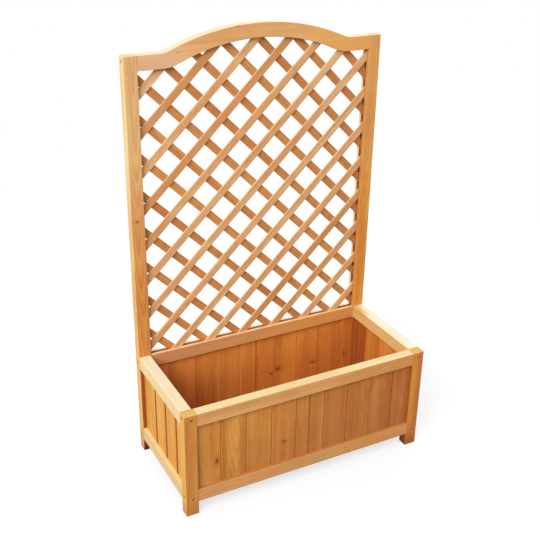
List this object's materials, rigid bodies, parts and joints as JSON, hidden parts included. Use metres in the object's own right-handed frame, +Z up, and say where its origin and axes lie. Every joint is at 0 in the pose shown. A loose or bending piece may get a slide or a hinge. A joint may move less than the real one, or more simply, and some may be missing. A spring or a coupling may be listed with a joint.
{
  "type": "planter with trellis",
  "caption": "Rectangular timber planter box on four posts, with an arched diagonal-lattice trellis rising from its back for climbing plants.",
  "frame": {"origin": "on the ground, under the middle of the planter's outline", "axes": "+Z up; +X along the planter's length, to the right as seen from the front; +Y from the front to the back, where the trellis stands"},
  "size_m": [0.76, 0.36, 1.2399],
  "materials": {
    "frame_timber": "planed softwood, honey-brown stain, satin",
    "board_timber": "planed tongue-and-groove softwood, honey-brown stain, satin",
    "lath_timber": "planed softwood laths, honey-brown stain, satin",
    "base_timber": "sawn softwood, honey-brown stain, matte",
    "screw_steel": "zinc-plated steel, yellow passivated"
  },
  "bodies": {
    "root": {"arched_top_rail": "frame_timber", "back_board_01": "board_timber", "back_board_02": "board_timber", "back_board_03": "board_timber", "back_board_04": "board_timber", "back_board_05": "board_timber", "back_board_06": "board_timber", "back_board_07": "board_timber", "back_board_08": "board_timber", "back_board_09": "board_timber", "back_board_10": "board_timber", "base_batten_back": "base_timber", "base_batten_front": "base_timber", "base_screws": "screw_steel", "base_slat_1": "base_timber", "base_slat_2": "base_timber", "base_slat_3": "base_timber", "base_slat_4": "base_timber", "base_slat_5": "base_timber", "base_slat_6": "base_timber", "base_slat_7": "base_timber", "frame_screws": "screw_steel", "front_board_01": "board_timber", "front_board_02": "board_timber", "front_board_03": "board_timber", "front_board_04": "board_timber", "front_board_05": "board_timber", "front_board_06": "board_timber", "front_board_07": "board_timber", "front_board_08": "board_timber", "front_board_09": "board_timber", "front_board_10": "board_timber", "front_post_left": "frame_timber", "front_post_right": "frame_timber", "lattice_back_laths": "lath_timber", "lattice_front_laths": "lath_timber", "left_board_01": "board_timber", "left_board_02": "board_timber", "left_board_03": "board_timber", "left_board_04": "board_timber", "lower_rail_back": "frame_timber", "lower_rail_front": "frame_timber", "lower_rail_left": "frame_timber", "lower_rail_right": "frame_timber", "rear_post_left": "frame_timber", "rear_post_right": "frame_timber", "right_board_01": "board_timber", "right_board_02": "board_timber", "right_board_03": "board_timber", "right_board_04": "board_timber", "upper_rail_back": "frame_timber", "upper_rail_front": "frame_timber", "upper_rail_left": "frame_timber", "upper_rail_right": "frame_timber"}
  },
  "joints": []
}
